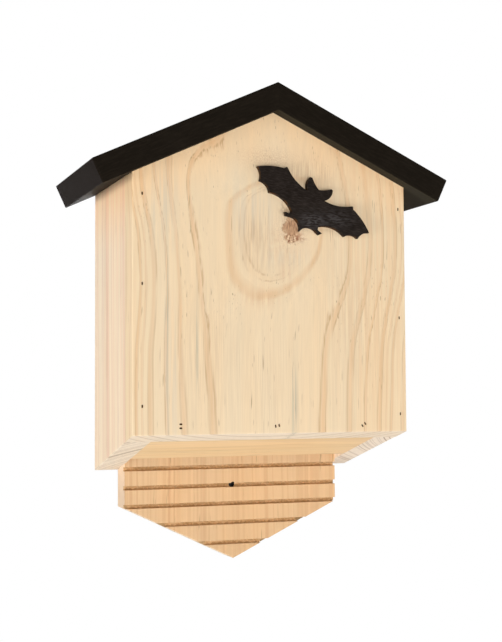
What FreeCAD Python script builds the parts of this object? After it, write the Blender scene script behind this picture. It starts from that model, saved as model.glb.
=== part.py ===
import FreeCAD, Part

import math
import os

V = FreeCAD.Vector

# Frame of the part, in millimetres.
# +X is to the right of someone who faces the box, +Y points to the wall and +Z is up.
# The wall plane is Y = 0, the middle of the box is X = 0, and Z = 0 is the level of the
# front panel's bottom edge.

# Boards
board_t = 20.0                  # front, sides, floor strip and roof
back_board_t = 22.0             # back panel, which runs on down as the landing board
arris = 0.8                     # saw-sharp edges are eased by this much

# Box
box_w = 230.0                   # over the sides
box_depth = 120.0               # from the wall plane to the front face
eaves_h = 199.0                 # height of the front panel at its corners
roof_pitch = 25.0               # degrees
bottom_slant = 15.0             # degrees, the open bottom falls towards the wall

# Roof
roof_front_overhang = 12.0      # past the front face
eaves_overhang = 28.0           # past the sides, along the slope

# Landing board, the part of the back panel below the box
shoulder_drop = 63.0            # from the front panel's bottom edge to the corners of the point
point_angle = 25.5              # degrees, slope of the two cuts that make the point

# Entrance slot between the floor strip and the back panel
slot_w = 18.0

# Climbing grooves, saw cuts across the face of the back panel
groove_h = 3.5
groove_depth = 4.0
first_groove_drop = 30.8        # from the front panel's bottom edge to the middle of the first one
outer_groove_steps = (15.7, 15.4, 16.0, 16.8)     # from groove to groove below the box
inner_groove_pitch = 16.0       # from groove to groove inside the box
inner_groove_clear = 20.0       # the grooves stop this far below the eaves

# Screw hole in the landing board
wall_hole_d = 4.5
wall_hole_drop = 46.0           # from the front panel's bottom edge

# Hanger plate with a keyhole, let in flush with the back
plate_w = 22.0
plate_h = 50.0
plate_t = 1.5
plate_corner_r = 4.0
plate_drop = 48.0               # from the ridge of the back panel to the plate's middle
keyhole_head_d = 10.0
keyhole_neck_w = 5.0
keyhole_travel = 10.0           # from the middle of the round hole up to the seat of the neck
keyhole_pocket_depth = 7.0      # room for the head of the wall screw behind the plate
keyhole_pocket_side = 2.0       # room beside that head
plate_screw_d = 3.0
plate_screw_head_d = 6.0
plate_screw_l = 12.0
plate_screw_inset = 6.0         # from the plate's ends to the screws
plate_screw_cone_h = 1.5        # height of the countersunk head

# Brads
brad_d = 1.3
brad_head_w = 1.4
brad_head_h = 2.6
brad_head_t = 1.0
brad_sink = 0.8                 # how far the heads are driven below the surface
brad_bite = 18.0                # length in the second board

# Where the brads go
front_brad_inset = (8.0, 5.5)               # left and right, from the box's sides
front_brad_from_bottom = (22.0, 14.0)       # left and right
front_brad_from_eaves = (16.0, 18.0)        # left and right
front_brad_middle_shift = (12.0, -5.5)      # left and right, of the one between those two
floor_brad_gap = 3.0                        # the floor strip's brads are driven in pairs
floor_brad_pairs = (     # across from the middle, up from the middle of the strip's edge, turn in degrees
    (-76.8, 1.7, 90.0),
    (2.0, 0.9, 10.0),
    (76.5, 0.8, 34.0),
)
back_brad_inset = 7.0                       # from the back panel's edges
back_brad_angle = 32.0                      # degrees, slanted outwards into the sides
back_brad_from_bottom = 30.0
back_brad_from_eaves = 34.0
roof_brad_from_ridge = 34.0                 # along the slope
roof_brad_from_side = 32.0                  # from the sides' outer face, into front and back
roof_brad_in_side = 7.0                     # from the sides' outer face, into their top edge
roof_brad_side_inset = 18.0                 # from the front and back panels

# Bat emblem, a cut-out thin board
emblem_t = 4.0
emblem_across = 30.0            # place of the bat's middle, from the middle of the box
emblem_below_eaves = 21.0       # and down from the top of the front panel's corners
emblem_tilt = 26.8              # degrees, clockwise
# Right half of its outline, from the crown of the head round to the tip of the tail.
# Each entry is the end of a straight run, or the middle and the end of an arc.
emblem_crown = (0.0, 16.3)
emblem_half = (
    ((5.2, 19.0), (9.2, 22.3)),             # inner side of the ear
    ((10.8, 22.0),),                        # blunt tip of the ear
    ((11.3, 16.0), (8.2, 10.9)),            # outer side of the ear
    ((20.4, 13.0), (30.6, 18.5)),           # front edge of the wing up to the wrist
    ((32.0, 19.2),),                        # thumb
    ((33.2, 17.1),),
    ((44.0, 13.1), (53.9, 6.9)),            # outer edge of the wing
    ((49.3, 3.4), (47.0, -2.2)),            # three scallops along the rear edge
    ((40.7, -2.5), (36.0, -6.5)),
    ((24.6, -5.2), (12.6, -10.8)),
    ((13.4, -13.0),),                       # foot
    ((17.6, -13.7),),
    ((16.0, -16.0),),
    ((12.8, -15.2),),
    ((5.2, -15.3), (0.0, -21.6)),           # skin between the foot and the tail
)

# Worked out from the values above
half_w = box_w / 2
inner_half_w = half_w - board_t
pitch = math.radians(roof_pitch)
slant = math.radians(bottom_slant)
ridge_z = eaves_h + half_w * math.tan(pitch)
front_y = -box_depth
front_rear_y = front_y + board_t                  # rear face of the front panel
back_front_y = -back_board_t                      # front face of the back panel
floor_rear_y = back_front_y - slot_w              # rear edge of the floor strip
floor_edge_h = board_t / math.cos(slant)          # plumb height of the floor strip's edges
point_z = -shoulder_drop - inner_half_w * math.tan(math.radians(point_angle))

MARGIN = 1.0                    # cutting tools reach this far past what they cut
SAME_PLACE = 0.01               # places closer than this are taken as one
MM3_PER_CM3 = 1000.0

nodes = {}


def roof_z(x):
    """Height of the roof's underside."""
    return ridge_z - abs(x) * math.tan(pitch)


def bottom_z(y):
    """Height of the slanted bottom."""
    return -(y - front_y) * math.tan(slant)


def prism_xz(points, y_low, y_high):
    """Board with this outline, seen from the front."""
    corners = [V(x, y_low, z) for x, z in points]
    face = Part.Face(Part.makePolygon(corners + corners[:1]))
    return face.extrude(V(0, y_high - y_low, 0))


def prism_yz(points, x_low, x_high):
    """Board with this outline, seen from the right."""
    corners = [V(x_low, y, z) for y, z in points]
    face = Part.Face(Part.makePolygon(corners + corners[:1]))
    return face.extrude(V(x_high - x_low, 0, 0))


def eased(shape, chosen, size):
    """Chamfer the edges whose middle passes the test."""
    edges = [edge for edge in shape.Edges
             if chosen(edge.valueAt((edge.FirstParameter + edge.LastParameter) / 2))]
    return shape.makeChamfer(size, edges)


def near(a, b):
    return abs(a - b) < SAME_PLACE


def below_roof(x_low, x_high, y_low, y_high):
    """Upright block with its top cut to the roof and its bottom to the slant."""
    profile = [(x_low, -box_depth), (x_high, -box_depth), (x_high, roof_z(x_high))]
    if x_low < 0 < x_high:
        profile.append((0, ridge_z))
    profile.append((x_low, roof_z(x_low)))
    block = prism_xz(profile, y_low, y_high)
    waste_y = (y_low - MARGIN, y_high + MARGIN)
    waste = prism_yz(
        [
            (waste_y[0], -box_depth - MARGIN),
            (waste_y[1], -box_depth - MARGIN),
            (waste_y[1], bottom_z(waste_y[1])),
            (waste_y[0], bottom_z(waste_y[0])),
        ],
        x_low - MARGIN,
        x_high + MARGIN,
    )
    return block.cut(waste)


def front_panel():
    panel = below_roof(-half_w, half_w, front_y, front_rear_y)
    return eased(panel, lambda p: near(p.y, front_y) and p.z < eaves_h, arris)


def side(sign):
    x_low, x_high = sorted((sign * inner_half_w, sign * half_w))
    board = below_roof(x_low, x_high, front_rear_y, 0)
    return eased(board, lambda p: near(abs(p.x), half_w) and (near(p.y, 0) or p.z < 0), arris)


def groove_heights():
    """Middle of each saw cut, from the lowest one up."""
    heights = [-first_groove_drop]
    for step in outer_groove_steps:
        heights.insert(0, heights[0] - step)
    top = eaves_h - inner_groove_clear
    while heights[-1] + inner_groove_pitch < top:
        heights.append(heights[-1] + inner_groove_pitch)
    return heights


def back_panel():
    outline = [
        (0, point_z),
        (inner_half_w, -shoulder_drop),
        (inner_half_w, roof_z(inner_half_w)),
        (0, ridge_z),
        (-inner_half_w, roof_z(inner_half_w)),
        (-inner_half_w, -shoulder_drop),
    ]
    panel = prism_xz(outline, back_front_y, 0)
    panel = eased(panel, lambda p: p.z < -shoulder_drop and not near(p.y, back_front_y / 2), arris)
    for z in groove_heights():
        saw_cut = Part.makeBox(
            box_w, groove_depth + MARGIN, groove_h,
            V(-half_w, back_front_y - MARGIN, z - groove_h / 2),
        )
        panel = panel.cut(saw_cut)
    hole = Part.makeCylinder(
        wall_hole_d / 2, back_board_t + 2 * MARGIN,
        V(0, back_front_y - MARGIN, -wall_hole_drop), V(0, 1, 0),
    )
    return panel.cut(hole)


def floor_strip():
    """Strip that lies in the slanted bottom, from the front panel to the slot."""
    strip = prism_yz(
        [
            (front_rear_y, bottom_z(front_rear_y)),
            (floor_rear_y, bottom_z(floor_rear_y)),
            (floor_rear_y, bottom_z(floor_rear_y) + floor_edge_h),
            (front_rear_y, bottom_z(front_rear_y) + floor_edge_h),
        ],
        -inner_half_w,
        inner_half_w,
    )
    return eased(strip, lambda p: near(p.y, floor_rear_y) and near(p.x, 0), arris)


def roof_board(sign):
    """One slope of the roof, mitred at the ridge, with a square cut at the eaves."""
    run = half_w / math.cos(pitch) + eaves_overhang
    low = (run * math.cos(pitch), ridge_z - run * math.sin(pitch))
    high = (low[0] + board_t * math.sin(pitch), low[1] + board_t * math.cos(pitch))
    outline = [(0, ridge_z), low, high, (0, ridge_z + board_t / math.cos(pitch))]
    y_front = front_y - roof_front_overhang
    board = prism_xz([(sign * x, z) for x, z in outline], y_front, 0)

    def outer(p):
        on_mitre = near(p.x, 0)
        lower_rear = near(p.y, 0) and near(p.z, roof_z(p.x))
        return not (on_mitre or lower_rear)

    return eased(board, outer, arris)


def emblem_outline():
    """Wire of the whole bat, flat in the XZ plane at Y = 0."""
    def point(x, z):
        return V(x, 0, z)

    edges = []
    for mirror in (1, -1):
        at = point(*emblem_crown)
        for run in emblem_half:
            stops = [point(mirror * x, z) for x, z in run]
            if len(stops) == 2:
                edges.append(Part.Arc(at, *stops).toShape())
            else:
                edges.append(Part.LineSegment(at, stops[0]).toShape())
            at = stops[-1]
    return Part.Wire(Part.__sortEdges__(edges))


def bat_emblem():
    bat = Part.Face(emblem_outline()).extrude(V(0, -emblem_t, 0))
    bat.rotate(V(0, 0, 0), V(0, 1, 0), emblem_tilt)
    bat.translate(V(emblem_across, front_y, eaves_h - emblem_below_eaves))
    return bat


def brad_prism(low, high):
    """Upright prism with the outline of a brad's head."""
    straight = (brad_head_h - brad_head_w) / 2
    radius = brad_head_w / 2
    prism = Part.makeBox(brad_head_w, 2 * straight, high - low, V(-radius, -straight, low))
    for y in (-straight, straight):
        prism = prism.fuse(Part.makeCylinder(radius, high - low, V(0, y, low)))
    return prism.removeSplitter()


def brad(first_board):
    """Brad whose head is sunk below Z = 0 and whose point is down."""
    head_low = -brad_sink - brad_head_t
    length = first_board + brad_bite
    shank = Part.makeCylinder(brad_d / 2, length + head_low, V(0, 0, -length))
    return brad_prism(head_low, -brad_sink).fuse(shank).removeSplitter()


def driven(shape, entry, direction, head_along):
    """Turn a shape that points down so that it goes in at this point and this way."""
    up = (direction * -1).normalize()
    turned = shape.copy()
    turned.Placement = FreeCAD.Placement(
        entry, FreeCAD.Rotation(V(), head_along, up, "ZYX")
    )
    return turned


def drive_brads(node, boards, first_board, brads):
    """Make a node of brads and cut their holes in the boards that they hold together."""
    nail = brad(first_board)
    hole = nail.fuse(brad_prism(-brad_sink, MARGIN))
    nodes[node] = Part.makeCompound([driven(nail, *place) for place in brads])
    holes = Part.makeCompound([driven(hole, *place) for place in brads])
    for board in boards:
        nodes[board] = nodes[board].cut(holes)


def front_brads():
    """A row of three through the front panel into the edge of each side."""
    into = V(0, 1, 0)
    upright = V(0, 0, 1)
    for i, (name, sign) in enumerate((("left", -1), ("right", 1))):
        low = front_brad_from_bottom[i]
        high = eaves_h - front_brad_from_eaves[i]
        middle = (low + high) / 2 + front_brad_middle_shift[i]
        x = sign * (half_w - front_brad_inset[i])
        brads = [(V(x, front_y, z), into, upright) for z in (low, middle, high)]
        drive_brads(f"front_{name}_brads", ["front_panel", f"{name}_side"], board_t, brads)


def floor_brads():
    """Pairs through the front panel into the edge of the floor strip."""
    edge_z = bottom_z(front_rear_y) + floor_edge_h / 2
    brads = []
    for x, up, turn in floor_brad_pairs:
        dx = floor_brad_gap / 2 * math.cos(math.radians(turn))
        dz = floor_brad_gap / 2 * math.sin(math.radians(turn))
        for end in (-1, 1):
            place = V(x + end * dx, front_y, edge_z + up + end * dz)
            brads.append((place, V(0, 1, 0), V(dz, 0, -dx)))
    drive_brads("floor_brads", ["front_panel", "floor_strip"], board_t, brads)


def back_brads():
    """Three slanted from the back panel's rear face into each side."""
    angle = math.radians(back_brad_angle)
    low = back_brad_from_bottom
    high = eaves_h - back_brad_from_eaves
    to_joint = back_brad_inset / math.sin(angle)
    for name, sign in (("left", -1), ("right", 1)):
        into = V(sign * math.sin(angle), -math.cos(angle), 0)
        x = sign * (inner_half_w - back_brad_inset)
        brads = [(V(x, 0, z), into, V(0, 0, 1)) for z in (low, (low + high) / 2, high)]
        drive_brads(f"back_{name}_brads", ["back_panel", f"{name}_side"], to_joint, brads)


def roof_brads():
    """Down through each roof board into the front panel, the back panel and the side."""
    front_mid_y = (front_y + front_rear_y) / 2
    back_mid_y = back_front_y / 2
    for name, sign in (("left", -1), ("right", 1)):
        outwards = V(sign * math.sin(pitch), 0, math.cos(pitch))
        down_slope = V(sign * math.cos(pitch), 0, -math.sin(pitch))
        ridge = V(0, 0, ridge_z)
        near_side = (half_w - roof_brad_from_side) / math.cos(pitch)
        in_side = (half_w - roof_brad_in_side) / math.cos(pitch)
        places = [(s, y) for s in (roof_brad_from_ridge, near_side) for y in (front_mid_y, back_mid_y)]
        places.append((in_side, front_rear_y + roof_brad_side_inset))
        places.append((in_side, back_front_y - roof_brad_side_inset))
        brads = []
        for s, y in places:
            entry = ridge + down_slope * s + outwards * board_t + V(0, y, 0)
            brads.append((entry, outwards * -1, down_slope))
        boards = [f"roof_{name}", "front_panel", "back_panel", f"{name}_side"]
        drive_brads(f"roof_{name}_brads", boards, board_t, brads)


def rounded_slab(width, height, corner, thickness):
    """Slab in the XZ plane, centred, from Y = 0 towards the front."""
    slab = Part.makeBox(width, thickness, height, V(-width / 2, -thickness, -height / 2))
    upright = [edge for edge in slab.Edges
               if near(abs(edge.CenterOfMass.x), width / 2) and near(abs(edge.CenterOfMass.z), height / 2)]
    return slab.makeFillet(corner, upright)


def keyhole(head_r, neck_r, y_low, y_high):
    """Keyhole with its round hole below its seat, which is at the origin."""
    depth = y_high - y_low
    along = V(0, 1, 0)
    round_hole = Part.makeCylinder(head_r, depth, V(0, y_low, -keyhole_travel), along)
    neck = Part.makeBox(2 * neck_r, depth, keyhole_travel, V(-neck_r, y_low, -keyhole_travel))
    seat = Part.makeCylinder(neck_r, depth, V(0, y_low, 0), along)
    return round_hole.fuse(neck).fuse(seat).removeSplitter()


def hanger():
    """Plate with a keyhole and two countersunk screws, let into the back panel."""
    middle = V(0, 0, ridge_z - plate_drop)
    seat = middle + V(0, 0, keyhole_travel / 2)
    blank = rounded_slab(plate_w, plate_h, plate_corner_r, plate_t)
    blank.translate(middle)
    opening = keyhole(keyhole_head_d / 2, keyhole_neck_w / 2, -plate_t - MARGIN, MARGIN)
    opening.translate(seat)
    pocket_r = keyhole_head_d / 2 + keyhole_pocket_side
    pocket = keyhole(pocket_r, pocket_r, -plate_t - keyhole_pocket_depth, -plate_t)
    pocket.translate(seat)

    shank_l = plate_screw_l - plate_screw_cone_h
    head = Part.makeCone(
        plate_screw_head_d / 2, plate_screw_d / 2, plate_screw_cone_h, V(0, 0, 0), V(0, -1, 0)
    )
    shank = Part.makeCylinder(
        plate_screw_d / 2, shank_l, V(0, -plate_screw_cone_h, 0), V(0, -1, 0)
    )
    screw = head.fuse(shank)
    screws = []
    for end in (-1, 1):
        placed = screw.copy()
        placed.translate(middle + V(0, 0, end * (plate_h / 2 - plate_screw_inset)))
        screws.append(placed)
    screws = Part.makeCompound(screws)
    nodes["hanger_plate"] = blank.cut(opening).cut(screws)
    nodes["hanger_screws"] = screws
    nodes["back_panel"] = nodes["back_panel"].cut(blank).cut(pocket).cut(screws)


nodes["front_panel"] = front_panel()
nodes["left_side"] = side(-1)
nodes["right_side"] = side(1)
nodes["back_panel"] = back_panel()
nodes["floor_strip"] = floor_strip()
nodes["roof_left"] = roof_board(-1)
nodes["roof_right"] = roof_board(1)
nodes["bat_emblem"] = bat_emblem()
front_brads()
floor_brads()
back_brads()
roof_brads()
hanger()

os.makedirs("parts", exist_ok=True)
for name, shape in nodes.items():
    solids = shape.Solids
    kept = solids[0] if len(solids) == 1 else Part.makeCompound(solids)
    kept.exportStep(f"parts/{name}.step")
    volume = shape.Volume / MM3_PER_CM3
    print(f"{name}: {len(solids)} solids, {volume:.2f} cm3, valid {kept.isValid()}")
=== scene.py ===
# %% [markdown]
# # A bat box of pine boards
# The box hangs on a wall. Two sides run along a back panel's edges, a front panel closes them,
# and the back panel runs on down as a grooved landing board for the bats to land on. Two
# stained boards make the roof. The finished construction is loaded first. It fixes every place
# and size, and the new pieces made here only dress it.

# %% Load the construction
import math

import bmesh
import bpy
from mathutils import Matrix, Vector


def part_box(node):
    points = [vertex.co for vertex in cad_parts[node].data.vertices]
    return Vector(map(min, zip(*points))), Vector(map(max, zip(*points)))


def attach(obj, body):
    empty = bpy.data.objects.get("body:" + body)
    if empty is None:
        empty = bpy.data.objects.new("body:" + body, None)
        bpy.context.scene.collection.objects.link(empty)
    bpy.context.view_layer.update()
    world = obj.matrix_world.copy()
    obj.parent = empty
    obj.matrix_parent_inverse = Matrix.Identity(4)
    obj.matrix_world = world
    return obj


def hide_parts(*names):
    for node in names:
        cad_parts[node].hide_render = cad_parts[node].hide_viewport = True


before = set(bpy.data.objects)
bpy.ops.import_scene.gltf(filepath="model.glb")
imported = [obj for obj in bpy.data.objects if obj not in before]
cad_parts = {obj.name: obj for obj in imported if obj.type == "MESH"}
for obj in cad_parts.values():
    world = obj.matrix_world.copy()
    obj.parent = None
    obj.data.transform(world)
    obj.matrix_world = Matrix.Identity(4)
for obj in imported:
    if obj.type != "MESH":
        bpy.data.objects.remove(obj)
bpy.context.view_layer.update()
print("solids:", sorted(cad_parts))

# %% [markdown]
# The boards' sizes are repeated here once, in metres. X runs to the right, Y runs towards the
# wall and Z runs up. The wall plane is Y = 0, and Z = 0 is the front panel's bottom edge.

# %% Sizes
mm = 0.001
board_t = 20 * mm
back_t = 22 * mm
half_w = 115 * mm
inner_half_w = half_w - board_t
front_y = -120 * mm
eaves_z = 199 * mm
pitch = math.radians(25)
slant = math.radians(15)
ridge_z = eaves_z + half_w * math.tan(pitch)
print("ridge of the panels at", round(ridge_z / mm, 1), "mm")

# %% [markdown]
# ## The camera
# The camera stands a metre in front of the box, a little to its left and a little lower than
# its middle. A new camera looks straight down, so a quarter turn tips it up first. It then
# turns to the right, looks slightly up and rolls a little.

# %% Camera
look_right = 0.36027
look_up = 0.05832
roll = -0.00562
lens = 68.47
film_width = 36
nearest = 50 * mm

bpy.ops.object.camera_add(location=(-353.7 * mm, -1006.6 * mm, 32.1 * mm))
camera = bpy.context.active_object
camera.name = "camera"
turned = (Matrix.Rotation(-look_right, 3, "Z")
          @ Matrix.Rotation(math.pi / 2 + look_up, 3, "X")
          @ Matrix.Rotation(roll, 3, "Z"))
camera.rotation_euler = turned.to_euler()
camera.data.sensor_width = film_width
camera.data.lens = lens
camera.data.clip_start = nearest
bpy.context.scene.camera = camera
print("camera at", tuple(round(v, 3) for v in camera.location))

# %% [markdown]
# ## Nodes in short
# A material is a tree of nodes, and a few helpers keep the trees readable. The first wires or
# fills a node's inputs, the second adds a node, and the others are the sums that come up most.

# %% Helpers for node trees
def wire(made, wires):
    """Each input gets a number, a colour or another node's output."""
    for key, value in wires.items():
        if isinstance(value, bpy.types.NodeSocket):
            made.id_data.links.new(value, made.inputs[key])
        else:
            made.inputs[key].default_value = value
    return made


def node(tree, kind, wires=None, **options):
    """Add a node, set its options and wire it."""
    made = tree.nodes.new(kind)
    for name, value in options.items():
        setattr(made, name, value)
    return wire(made, wires or {})


def calc(tree, operation, *values, clamp=False):
    """Output of a Math node."""
    return node(tree, "ShaderNodeMath", dict(enumerate(values)),
                operation=operation, use_clamp=clamp).outputs[0]


def times(tree, *values):
    """Product of all the values."""
    product = values[0]
    for value in values[1:]:
        product = calc(tree, "MULTIPLY", product, value)
    return product


def scaled(tree, value, factor, plus):
    """The value times the factor, plus another value."""
    return calc(tree, "MULTIPLY_ADD", value, factor, plus)


def step(tree, value, low, high, to_low=0.0, to_high=1.0):
    """Soft step: to_low below the first value, to_high above the second."""
    wires = {"Value": value, "From Min": low, "From Max": high,
             "To Min": to_low, "To Max": to_high}
    return node(tree, "ShaderNodeMapRange", wires, interpolation_type="SMOOTHSTEP").outputs[0]


def fall(tree, value, low, high, top=1.0):
    """Soft step down, from the top to 0."""
    return step(tree, value, low, high, top, 0.0)


def vector(tree, operation, *values, output="Vector"):
    """Output of a Vector Math node."""
    return node(tree, "ShaderNodeVectorMath", dict(enumerate(values)),
                operation=operation).outputs[output]


def stretched(tree, place, x, y, z):
    """The place with each axis multiplied."""
    return vector(tree, "MULTIPLY", place, (x, y, z))


def length(tree, place):
    return vector(tree, "LENGTH", place, output="Value")


def split(tree, place):
    """The x, y and z of a place."""
    return node(tree, "ShaderNodeSeparateXYZ", {0: place}).outputs


def own_place(tree):
    """The place on the piece itself, in metres."""
    return node(tree, "ShaderNodeTexCoord").outputs["Object"]


def mix(tree, factor, first, second, how="MIX"):
    """Output of a colour Mix node."""
    return node(tree, "ShaderNodeMix", {0: factor, 6: first, 7: second},
                data_type="RGBA", blend_type=how).outputs[2]


def noise(tree, place, cells, detail=2.0, roughness=0.5, output=0):
    """Soft noise round 0.5, with so many cells a metre along each axis."""
    return node(tree, "ShaderNodeTexNoise",
                {"Vector": stretched(tree, place, *cells), "Scale": 1.0,
                 "Detail": detail, "Roughness": roughness}).outputs[output]


def tint(red, green, blue):
    """A colour as it shows on the screen, from 0 to 255, made linear."""
    linear = [((c / 255 + 0.055) / 1.055) ** 2.4 if c > 10 else c / 255 / 12.92
              for c in (red, green, blue)]
    return (*linear, 1.0)


print("middle grey is", round(tint(128, 128, 128)[0], 3))

# %% [markdown]
# ## The air
# The box is photographed against white, in light from all round. If the world gave all of it, no
# face would be brighter than another. So it shows pure white to the camera and to reflections,
# and lights the wood only a little.

# %% World
air_light = 0.12
pure_white = (1, 1, 1, 1)

world = bpy.data.worlds.new("studio")
bpy.context.scene.world = world
world.use_nodes = True
air = world.node_tree
air.nodes.clear()
ray = node(air, "ShaderNodeLightPath").outputs
seen = calc(air, "MAXIMUM", ray["Is Camera Ray"], ray["Is Glossy Ray"])
seen = calc(air, "MAXIMUM", seen, ray["Is Transmission Ray"])
ambient, backdrop = [node(air, "ShaderNodeBackground", {"Color": pure_white, "Strength": strength})
                     for strength in (air_light, 1.0)]
either = node(air, "ShaderNodeMixShader", {0: seen, 1: ambient.outputs[0], 2: backdrop.outputs[0]})
node(air, "ShaderNodeOutputWorld", {0: either.outputs[0]})
bpy.context.scene.view_settings.view_transform = "Standard"
print("the air shows at 1 and lights at", air_light)

# %% [markdown]
# ## The floor
# A pale disc lies well below the box and throws light back up at its slanted bottom. Near the
# middle it keeps the box's shadow. Further out the camera sees it glow pure white, so that it
# runs into the backdrop without an edge.

# %% Floor
def new_material(name):
    material = bpy.data.materials.new(name)
    material.use_nodes = True
    tree = material.node_tree
    return material, tree, tree.nodes["Principled BSDF"]


floor_z, floor_r = -0.9, 6
fade_from, fade_to = 0.5, 1.3
floor_lift = 0.35

bpy.ops.mesh.primitive_circle_add(
    vertices=96, radius=floor_r, fill_type="NGON", location=(0, 0, floor_z))
floor = bpy.context.active_object
floor.name = "floor"
floor_paint, tree, paint = new_material("pale_floor")
by_camera = node(tree, "ShaderNodeLightPath").outputs["Is Camera Ray"]
wire(paint, {"Base Color": (0.9, 0.9, 0.9, 1), "Roughness": 0.9, "Specular IOR Level": 0.1,
             "Emission Color": pure_white, "Emission Strength": times(tree, by_camera, floor_lift)})
far = times(tree, step(tree, length(tree, own_place(tree)), fade_from, fade_to), by_camera)
glow = node(tree, "ShaderNodeEmission", {"Color": pure_white, "Strength": 1.0})
fade = node(tree, "ShaderNodeMixShader", {0: far, 1: paint.outputs[0], 2: glow.outputs[0]})
wire(tree.nodes["Material Output"], {"Surface": fade.outputs[0]})
floor.data.materials.append(floor_paint)
print("floor at", floor_z, "m")

# %% [markdown]
# ## The lamps
# Five large soft lamps give the light its direction: one in front, one on each side, one behind
# and a weak one near the floor, for the slanted bottom. The left one is the strongest, because
# the left side is as bright as the front.

# %% Lamps
def soft_lamp(name, place, size, power):
    """A large square lamp that faces the middle of the box."""
    bpy.ops.object.light_add(type="AREA", location=place)
    lamp = bpy.context.active_object
    lamp.name = name
    lamp.data.size = size
    lamp.data.energy = power
    aim = Vector((0, -0.06, 0.1)) - Vector(place)
    lamp.rotation_euler = aim.to_track_quat("-Z", "Y").to_euler()
    lamp.visible_camera = False
    print(name, "of", power, "W at", place)


soft_lamp("key_lamp", (0.1, -2.4, -0.35), 1.2, 27.5)
soft_lamp("left_lamp", (-2.3, -0.6, -0.45), 0.7, 36)
soft_lamp("right_lamp", (2.4, -0.9, -0.45), 1.2, 23)
soft_lamp("back_lamp", (0.3, 2.5, 0.4), 1.4, 30)
soft_lamp("low_lamp", (0.0, -0.5, -0.88), 1.2, 1.7)

# %% [markdown]
# ## How boards are made here
# A board is sawn, so it is modelled by sawing. A cube is added and stretched to the board's
# outside size, each slanted cut is a bisect that throws away what lies outside, and the edges
# that a hand would sand are bevelled round. Brad holes and grooves come out with a Boolean.

# %% Helpers for boards
arris = 0.8 * mm
hair = 0.05 * mm
smooth_up_to = math.radians(32)


def block(name, low, high):
    """A block between two corners."""
    low, high = Vector(low), Vector(high)
    bpy.ops.object.select_all(action="DESELECT")
    bpy.ops.mesh.primitive_cube_add(size=1, location=(low + high) / 2)
    piece = bpy.context.active_object
    piece.name = piece.data.name = name
    piece.scale = high - low
    bpy.ops.object.transform_apply()
    return piece


def work_on(piece):
    """Make a piece the only one selected."""
    bpy.ops.object.select_all(action="DESELECT")
    piece.select_set(True)
    bpy.context.view_layer.objects.active = piece


def edit(piece, action="SELECT"):
    """Go into edit mode with all of the piece selected, or none of it."""
    work_on(piece)
    bpy.ops.object.mode_set(mode="EDIT")
    bpy.ops.mesh.select_all(action=action)


def leave():
    """Go back to object mode."""
    bpy.ops.object.mode_set(mode="OBJECT")


def edit_edges(piece, chosen):
    """Go into edit mode with those edges selected whose two ends pass the test."""
    edit(piece, "DESELECT")
    bpy.ops.mesh.select_mode(type="EDGE")
    for edge in bmesh.from_edit_mesh(piece.data).edges:
        edge.select_set(bool(chosen(edge.verts[0].co, edge.verts[1].co)))
    bmesh.update_edit_mesh(piece.data)


def saw(piece, place, outwards):
    """One straight cut. The waste on the outward side falls away."""
    edit(piece)
    bpy.ops.mesh.bisect(plane_co=place, plane_no=outwards, use_fill=True, clear_outer=True)
    leave()


def ease(piece, chosen, width=arris, segments=3):
    """Round the edges whose middle passes the test."""
    edit_edges(piece, lambda a, b: chosen((a + b) / 2))
    bpy.ops.mesh.bevel(offset=width, segments=segments, affect="EDGES")
    leave()


def cut_out(piece, cutter):
    """Take the cutter's shape out of the piece. The cutter is used up."""
    work_on(piece)
    modifier = piece.modifiers.new("cut", "BOOLEAN")
    modifier.operation = "DIFFERENCE"
    modifier.solver = "EXACT"
    modifier.object = cutter
    bpy.ops.object.modifier_apply(modifier="cut")
    bpy.data.objects.remove(cutter)


def near(a, b):
    return abs(a - b) < hair


def finish_board(piece, *nodes, slot):
    """Smooth the rounded edges and put the piece in the place of its solid."""
    work_on(piece)
    bpy.ops.object.shade_smooth_by_angle(angle=smooth_up_to)
    flat = piece.modifiers.new("flat", "WEIGHTED_NORMAL")
    flat.keep_sharp = True
    bpy.ops.object.modifier_apply(modifier="flat")
    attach(piece, "root")
    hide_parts(*nodes)
    low, high = Vector(piece.bound_box[0]), Vector(piece.bound_box[6])
    print(piece.name, [round(v / mm, 1) for v in high - low], "mm")


# %% [markdown]
# ## Holes of the brads
# Each brad is driven just below the surface and leaves a small slot. The brads are already in
# place, so a copy of each row, pulled out by the depth of the slot, is the cutter. Only its
# heads are kept, as the rest would stay hidden.

# %% Cutter from a row of brads
sunk = 0.9 * mm
head_t = 1.0 * mm
lap = 0.1 * mm
weld = 0.01 * mm


def merged_copy(node_name, name):
    """A copy of a solid's mesh, with its loose triangles joined and no marks of its own."""
    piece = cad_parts[node_name].copy()
    piece.data = piece.data.copy()
    piece.name = piece.data.name = name
    piece.parent = None
    piece.data.materials.clear()
    for key in list(piece.keys()):
        del piece[key]
    bpy.context.scene.collection.objects.link(piece)
    edit(piece)
    bpy.ops.mesh.remove_doubles(threshold=weld)
    leave()
    return piece


def brad_slots(piece, node_name, surface, outwards):
    """Cut the slots of a row of brads whose heads look this way from this surface."""
    outwards = Vector(outwards).normalized()
    cutter = merged_copy(node_name, "cutter")
    bpy.ops.transform.translate(value=outwards * sunk)
    bpy.ops.object.transform_apply()
    saw(cutter, Vector(surface) - outwards * (head_t - lap), -outwards)
    cut_out(piece, cutter)
    print(node_name, "open", round(sunk / mm, 1), "mm deep")


# %% [markdown]
# ## Front panel
# The front is one wide flat-sawn board. Its top follows the roof and its bottom is cut to the
# slant. The roof covers the top edges, so only the others are sanded.

# %% Front panel
spare = 5 * mm
roof_cuts = [Vector((side * math.sin(pitch), 0, math.cos(pitch))) for side in (-1, 1)]
slant_cut = Vector((0, -math.sin(slant), -math.cos(slant)))

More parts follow.
